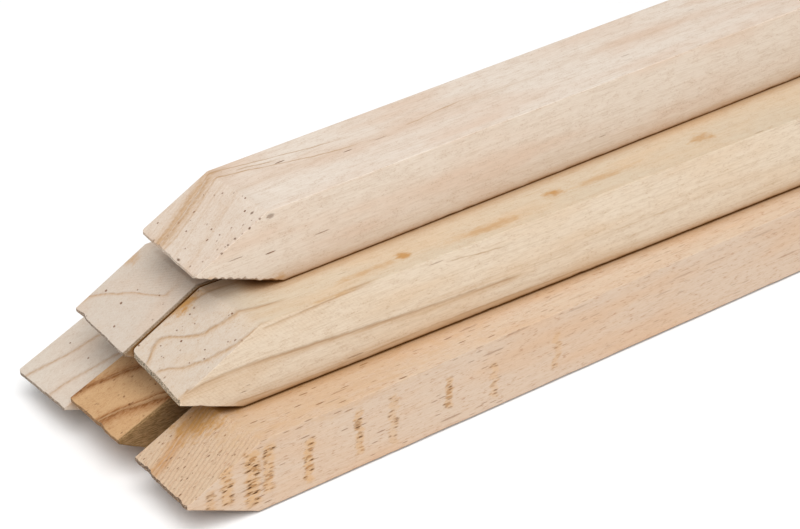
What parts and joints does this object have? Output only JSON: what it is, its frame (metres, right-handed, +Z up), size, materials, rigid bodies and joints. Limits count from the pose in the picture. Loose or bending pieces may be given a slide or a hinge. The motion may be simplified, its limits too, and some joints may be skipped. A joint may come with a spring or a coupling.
{
  "type": "tree guard stake pile",
  "caption": "Pyramid pile of square sawn pine stakes with two-way sawn points, for holding guards round young trees.",
  "frame": {"origin": "on the ground, under the middle of the pile's bounding box", "axes": "+X along the pile from the points to the square butts, +Z up, -Y towards the side of the pile where the bottom row has its gap"},
  "size_m": [0.776, 0.0908, 0.0725],
  "materials": {
    "grey_cream_pine": "sawn, dry, matt",
    "tan_pine": "sawn, dry, matt",
    "peach_pine": "sawn, dry, matt",
    "straw_pine": "sawn, dry, matt",
    "pink_cream_pine": "sawn, dry, matt"
  },
  "bodies": {
    "bottom_middle": {"bottom_middle_stake": "tan_pine"},
    "bottom_far": {"bottom_far_stake": "grey_cream_pine"},
    "bottom_near": {"bottom_near_stake": "peach_pine"},
    "middle_far": {"middle_far_stake": "grey_cream_pine"},
    "middle_near": {"middle_near_stake": "straw_pine"},
    "top": {"top_stake": "pink_cream_pine"}
  },
  "joints": [
    {"name": "bottom_far_draw", "type": "slide", "parent": "bottom_middle", "child": "bottom_far", "axis": [0.9999, 0.0105, 0], "range_m": [-0.3, 0.3]},
    {"name": "bottom_near_draw", "type": "slide", "parent": "bottom_middle", "child": "bottom_near", "axis": [0.9998, 0.0183, 0], "range_m": [-0.3, 0.3]},
    {"name": "middle_far_draw", "type": "slide", "parent": "bottom_middle", "child": "middle_far", "axis": [0.9999, -0.014, 0], "range_m": [-0.3, 0.3]},
    {"name": "middle_near_draw", "type": "slide", "parent": "bottom_middle", "child": "middle_near", "axis": [0.9999, -0.014, 0], "range_m": [-0.3, 0.3]},
    {"name": "top_lift", "type": "slide", "parent": "bottom_middle", "child": "top", "axis": [0, 0, 1], "range_m": [0, 0.1]}
  ]
}
